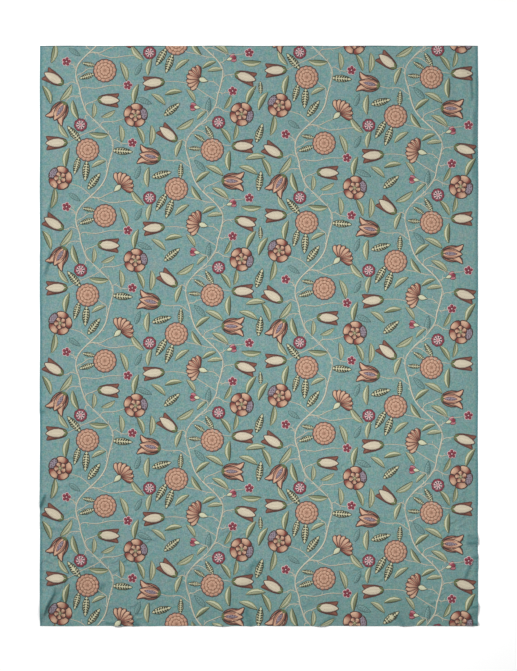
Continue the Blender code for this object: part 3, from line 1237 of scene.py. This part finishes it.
petals = Needlework(peach_wool)
speckled = Needlework(mauve_wool)
outlines = Needlework(brown_wool)
hearts = Needlework(green_wool)
for number, layer in enumerate(ROSE_LAYERS):
    for petal in range(ROSE_PETALS):
        angle = 2 * math.pi * (petal + 0.5 * number) / ROSE_PETALS + 0.2
        shape = petal_at(angle, layer.inner, layer.length, layer.width, fullest=0.64, blunt=0.5)
        height = layer.lift + 0.25 * (petal % 2)
        if petal == 1 and number == 0:
            speckled.satin(shape, MAUVE, lift=height, across=5)
        else:
            petals.satin(shape, shaded_petal, lift=height, across=5)
        outlines.edge(shape, 0.5, 3.0, 1.1, DARK, height)
hearts.knot(0, 0, 5.0, 1.4, EYE, lift=1.4, sides=10)
for knot in range(9):
    around = spoke(2 * math.pi * knot / 9, 7.4)
    hearts.knot(*around, 1.5, 1.0, (EYE, LEAF_PALE)[knot % 2], lift=1.6)
sew("rose", petals=petals, mauve_petals=speckled, outlines=outlines, hearts=hearts)


# Tulips
# Side views: five petals in peach wool with a rust stripe down each flank, two behind, two at
# the sides and one in front with a speckled mauve middle. A small green cup holds them.
TulipPetal = namedtuple("TulipPetal", "foot_x length width lean bow lift")
TULIP_PETALS = (
    TulipPetal(-5.0, 66.0, 24.0, 0.16, 0.05, 0.0),
    TulipPetal(5.0, 66.0, 24.0, -0.16, -0.05, 0.0),
    TulipPetal(-8.0, 70.0, 28.0, 0.32, -0.18, 0.4),
    TulipPetal(8.0, 70.0, 28.0, -0.32, 0.18, 0.4),
    TulipPetal(0.0, 64.0, 31.0, 0.0, 0.0, 0.9),
)


def striped_petal(share, side):
    """Peach with a rust stripe down each flank."""
    stripe = 1.0 - abs(abs(side) - 0.75) / 0.25
    return between(PEACH, RUST, max(stripe, 0.8 - share / 0.25))


def standing(foot_x, foot_y, length, width, lean=0.0, **form):
    """A blade that stands on its foot and leans to the left of upright."""
    return blade(length, width, foot=(foot_x, foot_y), heading=math.pi / 2 + lean, **form)


petals = Needlework(peach_wool)
speckled = Needlework(mauve_wool)
outlines = Needlework(brown_wool)
cups = Needlework(green_wool)
for petal in TULIP_PETALS:
    shape = standing(
        petal.foot_x, -32.0, petal.length, petal.width, petal.lean,
        fullest=0.42, blunt=0.75, bow=petal.bow, steps=8,
    )
    petals.satin(shape, striped_petal, lift=petal.lift, across=8)
    outlines.edge(shape, 0.5, 2.9, 1.1, DARK, petal.lift)
seed_bed = standing(0.0, -23.0, 40.0, 13.0, fullest=0.45)
speckled.satin(seed_bed, MAUVE, lift=1.5)
outlines.edge(seed_bed, 0.2, 1.5, 0.9, RUST, 1.5)
for lean in (-0.9, 0.0, 0.9):
    sepal = standing(0.0, -35.0, 13.0, 7.0, lean, steps=4)
    cups.satin(sepal, LEAF_GREEN, lift=1.6, slant=0.4, across=3)
sew("tulip", petals=petals, mauve_middles=speckled, outlines=outlines, cups=cups)


# Carnations
# Fans of seven wedge-shaped petals with notched tips, in peach wool over rust, worked from the
# outermost inwards. They spread from a slim cup in pale green.
CARNATION_FOOT = Vector((0.0, -12.0))
petals = Needlework(peach_wool)
outlines = Needlework(brown_wool)
cups = Needlework(green_wool)
for order, step in enumerate((-3, 3, -2, 2, -1, 1, 0)):
    height = 0.15 * order
    shape = standing(*CARNATION_FOOT, 46.0, 20.0, -0.36 * step, fullest=0.74, blunt=0.6)
    petals.satin(shape, shaded_petal, lift=height, across=4)
    notched = []
    for index, point in enumerate(rim(shape, 0.4)):
        from_foot = point - CARNATION_FOOT
        notch = 0.94 if from_foot.length > 38.0 and index % 2 else 1.0
        notched.append(CARNATION_FOOT + from_foot * notch)
    outlines.cord(notched, 2.7, 1.1, DARK, height, closed=True)
calyx = standing(0.0, -36.0, 30.0, 17.0, fullest=0.6)
cups.satin(calyx, LEAF_PALE, lift=1.2, slant=0.5)
cups.edge(calyx, 0.2, 1.5, 1.0, LEAF_EDGE, 1.1)
sew("carnation", petals=petals, outlines=outlines, cups=cups)


# Cream buds
# Long pointed buds in cream wool, with two seams and a dark outline. A rust petal leans out
# behind each side, and two green sepals hold the foot.
CREAM = seen(222, 211, 184)
CREAM_SHADE = seen(196, 180, 158)
BUD_OUTLINE = seen(84, 34, 24)
BUD_RUST = seen(114, 56, 40)
BUD_BACK = seen(150, 96, 72)
body = Needlework(spun("cream_yarn", "cream_wool"))
backs = Needlework(brown_wool)
sepals = Needlework(green_wool)
for hand in (-1, 1):
    form = {"fullest": 0.45, "blunt": 0.7, "bow": 0.14 * hand}
    shape = standing(7.0 * hand, -32.0, 64.0, 26.0, -0.22 * hand, **form)
    backs.satin(shape, blend(BUD_BACK, BUD_RUST, 0.3, sideways=1.0), across=4, rise=0.6)
    backs.edge(shape, 0.5, 2.3, 1.0, BUD_OUTLINE)
shape = standing(0.0, -33.0, 66.0, 28.5, fullest=0.47, blunt=0.7)
body.satin(shape, blend(CREAM, CREAM_SHADE, -0.3, sideways=1.0), lift=0.9, across=6)
for offset in (-5.5, 5.5):
    seam = [Vector((offset * math.sin(math.pi * s / 6), -26.0 + 8.5 * s)) for s in range(7)]
    body.cord(seam, 1.0, 0.5, CREAM_SHADE, lift=1.6, ends=0.3)
backs.edge(shape, 0.6, 2.5, 1.3, BUD_OUTLINE, 0.9)
for lean in (-0.55, 0.55):
    sepal = standing(0.0, -36.0, 19.0, 8.5, lean, steps=4)
    sepals.satin(sepal, LEAF_GREEN, lift=1.5, slant=0.4, across=3)
sew("bud", petals=body, backs=backs, sepals=sepals)


# Small crimson flowers
# Blossoms with five petals in a pale halo, round daisies with a pale middle and dark seeds, and
# bells of three petals, half open, in a green cup.
CRIMSON = seen(142, 34, 60)
DEEP_CRIMSON = seen(98, 18, 36)
PINK = seen(204, 128, 138)
HALO = seen(226, 192, 192)
SEED = seen(44, 20, 30)
BLOSSOM_PETALS = 5
DAISY_PETALS = 8
crimson_wool = spun("crimson_yarn", "crimson_wool")

petals = Needlework(crimson_wool)
halos = Needlework(crimson_wool)
for petal in range(BLOSSOM_PETALS):
    angle = math.pi / 2 + 2 * math.pi * petal / BLOSSOM_PETALS
    shape = petal_at(angle, 0.6, 13.5, 11.0, fullest=0.62, blunt=0.6, steps=5)
    petals.satin(shape, blend(DEEP_CRIMSON, CRIMSON, along=1.4), lift=0.5, across=3)
    halos.edge(shape, 0.9, 2.3, 0.8, HALO)
halos.knot(0, 0, 2.3, 1.1, HALO, lift=1.2, sides=8)
sew("blossom", petals=petals, halos=halos)

rims = Needlework(crimson_wool)
middles = Needlework(crimson_wool)
for petal in range(DAISY_PETALS):
    angle = 2 * math.pi * petal / DAISY_PETALS
    outer = petal_at(angle, 10.5, 9.0, 13.0, fullest=0.6, blunt=0.5, steps=4)
    inner = petal_at(angle, 2.5, 12.0, 10.2, fullest=0.6, steps=3)
    seed = petal_at(angle + math.pi / DAISY_PETALS, 5.5, 7.5, 4.6, steps=2)
    rims.satin(outer, CRIMSON, across=3)
    middles.satin(inner, HALO, lift=0.5, across=2)
    rims.satin(seed, SEED, lift=1.1, across=2)
rims.cord(scalloped(DAISY_PETALS, 20.0, 1.6), 2.6, 1.0, DEEP_CRIMSON, closed=True)
middles.knot(0, 0, 3.4, 1.2, PINK, lift=0.8, sides=8)
sew("daisy", rims=rims, middles=middles)

petals = Needlework(crimson_wool)
cups = Needlework(green_wool)
for lean, colour, height in ((0.42, PINK, 0.0), (-0.42, PINK, 0.0), (0.0, CRIMSON, 0.5)):
    shape = standing(0.0, -9.0, 25.0, 13.0, lean, fullest=0.62, blunt=0.7, steps=6)
    petals.satin(shape, colour, lift=height, across=3)
    petals.edge(shape, 0.3, 1.5, 0.9, DEEP_CRIMSON, height)
calyx = standing(0.0, -17.0, 20.0, 12.0, fullest=0.6, steps=5)
cups.satin(calyx, LEAF_PALE, lift=0.9, slant=0.5, across=3)
cups.edge(calyx, 0.2, 1.3, 0.9, LEAF_EDGE, 0.8)
sew("bell", petals=petals, cups=cups)


# The finished cloth
# The sheet was cut 1.372 by 1.817 metres. It lies loose on the floor, and all the stitching
# lies on it and follows its folds.
bpy.context.view_layer.update()
